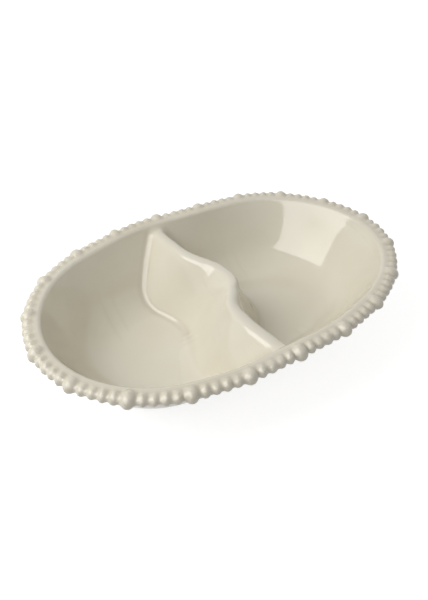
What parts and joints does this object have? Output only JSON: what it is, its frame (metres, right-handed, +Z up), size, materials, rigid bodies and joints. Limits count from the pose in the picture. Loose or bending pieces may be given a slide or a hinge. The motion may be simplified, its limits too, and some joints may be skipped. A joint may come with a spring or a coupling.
{
  "type": "divided serving bowl",
  "caption": "Oval divided serving bowl in cream glazed ceramic, with a waved divider between its compartments and a beaded rim.",
  "frame": {"origin": "on the table, under the middle of the bowl", "axes": "+X along the bowl to the compartment that the divider's wave swells into, +Y across it, +Z up"},
  "size_m": [0.352, 0.238, 0.0723],
  "materials": {
    "bowl_glaze": "gloss",
    "bead_glaze": "gloss"
  },
  "bodies": {
    "root": {"bowl_shell": "bowl_glaze", "divider": "bowl_glaze", "foot_ring": "bowl_glaze", "large_bead_01": "bead_glaze", "large_bead_02": "bead_glaze", "large_bead_03": "bead_glaze", "large_bead_04": "bead_glaze", "large_bead_05": "bead_glaze", "large_bead_06": "bead_glaze", "large_bead_07": "bead_glaze", "large_bead_08": "bead_glaze", "large_bead_09": "bead_glaze", "large_bead_10": "bead_glaze", "large_bead_11": "bead_glaze", "large_bead_12": "bead_glaze", "large_bead_13": "bead_glaze", "large_bead_14": "bead_glaze", "large_bead_15": "bead_glaze", "large_bead_16": "bead_glaze", "large_bead_17": "bead_glaze", "large_bead_18": "bead_glaze", "large_bead_19": "bead_glaze", "large_bead_20": "bead_glaze", "rim_band": "bowl_glaze", "small_beads_01": "bead_glaze", "small_beads_02": "bead_glaze", "small_beads_03": "bead_glaze", "small_beads_04": "bead_glaze", "small_beads_05": "bead_glaze", "small_beads_06": "bead_glaze", "small_beads_07": "bead_glaze", "small_beads_08": "bead_glaze", "small_beads_09": "bead_glaze", "small_beads_10": "bead_glaze", "small_beads_11": "bead_glaze", "small_beads_12": "bead_glaze", "small_beads_13": "bead_glaze", "small_beads_14": "bead_glaze", "small_beads_15": "bead_glaze", "small_beads_16": "bead_glaze", "small_beads_17": "bead_glaze", "small_beads_18": "bead_glaze", "small_beads_19": "bead_glaze", "small_beads_20": "bead_glaze"}
  },
  "joints": []
}
